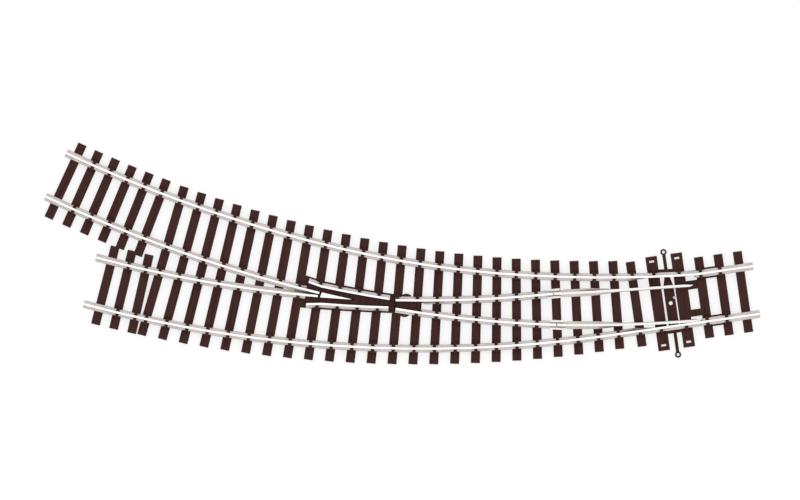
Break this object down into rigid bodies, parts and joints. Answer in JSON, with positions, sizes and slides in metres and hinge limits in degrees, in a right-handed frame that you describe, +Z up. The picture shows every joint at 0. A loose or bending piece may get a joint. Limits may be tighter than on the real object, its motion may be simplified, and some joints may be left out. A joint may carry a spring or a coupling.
{
  "type": "model railway turnout",
  "caption": "Curved model railway turnout: sprung point blades on a tie bar, an insulated crossing and a moulded sleeper base, with its routes bending the same way.",
  "frame": {"origin": "underside of the first sleeper at the toe, on the centreline of the toe track", "axes": "+X runs along the toe straight and out of the toe end, +Y is the side that both routes curve to, +Z is up"},
  "size_m": [0.2507, 0.1077, 0.0046],
  "materials": {
    "sleeper_plastic": "moulded, dark brown with a wood grain",
    "rail_metal": "drawn nickel silver, bright on the running surface",
    "clip_metal": "folded and stamped sheet, plain",
    "insulator_plastic": "moulded, black",
    "spring_steel": "drawn spring wire",
    "cover_steel": "plain sheet",
    "copper": "bare drawn copper wire"
  },
  "bodies": {
    "track": {"sleeper_base": "sleeper_plastic", "inner_stock_rail": "rail_metal", "outer_stock_rail": "rail_metal", "inner_route_closure_rail": "rail_metal", "outer_route_closure_rail": "rail_metal", "inner_wing_rail": "rail_metal", "outer_wing_rail": "rail_metal", "inner_route_vee_rail": "rail_metal", "outer_route_vee_rail": "rail_metal", "frog_nose": "rail_metal", "vee_insulator": "insulator_plastic", "inner_throat_insulator": "sleeper_plastic", "outer_throat_insulator": "sleeper_plastic", "spring_cover_plate": "cover_steel", "inner_route_blade_joiner": "clip_metal", "outer_route_blade_joiner": "clip_metal", "inner_jumper_wire": "copper", "outer_jumper_wire": "copper"},
    "tie_bar": {"tie_bar": "sleeper_plastic"},
    "inner_route_blade": {"inner_route_blade": "rail_metal", "inner_route_blade_pin": "clip_metal"},
    "outer_route_blade": {"outer_route_blade": "rail_metal", "outer_route_blade_pin": "clip_metal"},
    "spring": {"over_centre_spring": "spring_steel"}
  },
  "joints": [
    {"name": "tie_bar_slide", "type": "slide", "parent": "track", "child": "tie_bar", "axis": [0, 1, 0], "range_m": [0, 0.0025]},
    {"name": "inner_route_blade_swing", "type": "hinge", "parent": "track", "child": "inner_route_blade", "pos_m": [-0.06802, -0.0023, 0.003], "axis": [0, 0, 1], "range_deg": [0, 3.45]},
    {"name": "outer_route_blade_swing", "type": "hinge", "parent": "track", "child": "outer_route_blade", "pos_m": [-0.06763, 0.00904, 0.003], "axis": [0, 0, 1], "range_deg": [0, 3.48]},
    {"name": "spring_turn", "type": "hinge", "parent": "track", "child": "spring", "pos_m": [-0.0216, 0.0028, 0.00085], "axis": [0, 0, 1], "range_deg": [-42.2, 0]}
  ],
  "couplings": [
    {"joint": "inner_route_blade_swing", "follows": "tie_bar_slide", "rad_per_m": 24.024},
    {"joint": "outer_route_blade_swing", "follows": "tie_bar_slide", "rad_per_m": 24.256},
    {"joint": "spring_turn", "follows": "tie_bar_slide", "rad_per_m": -293.74}
  ]
}
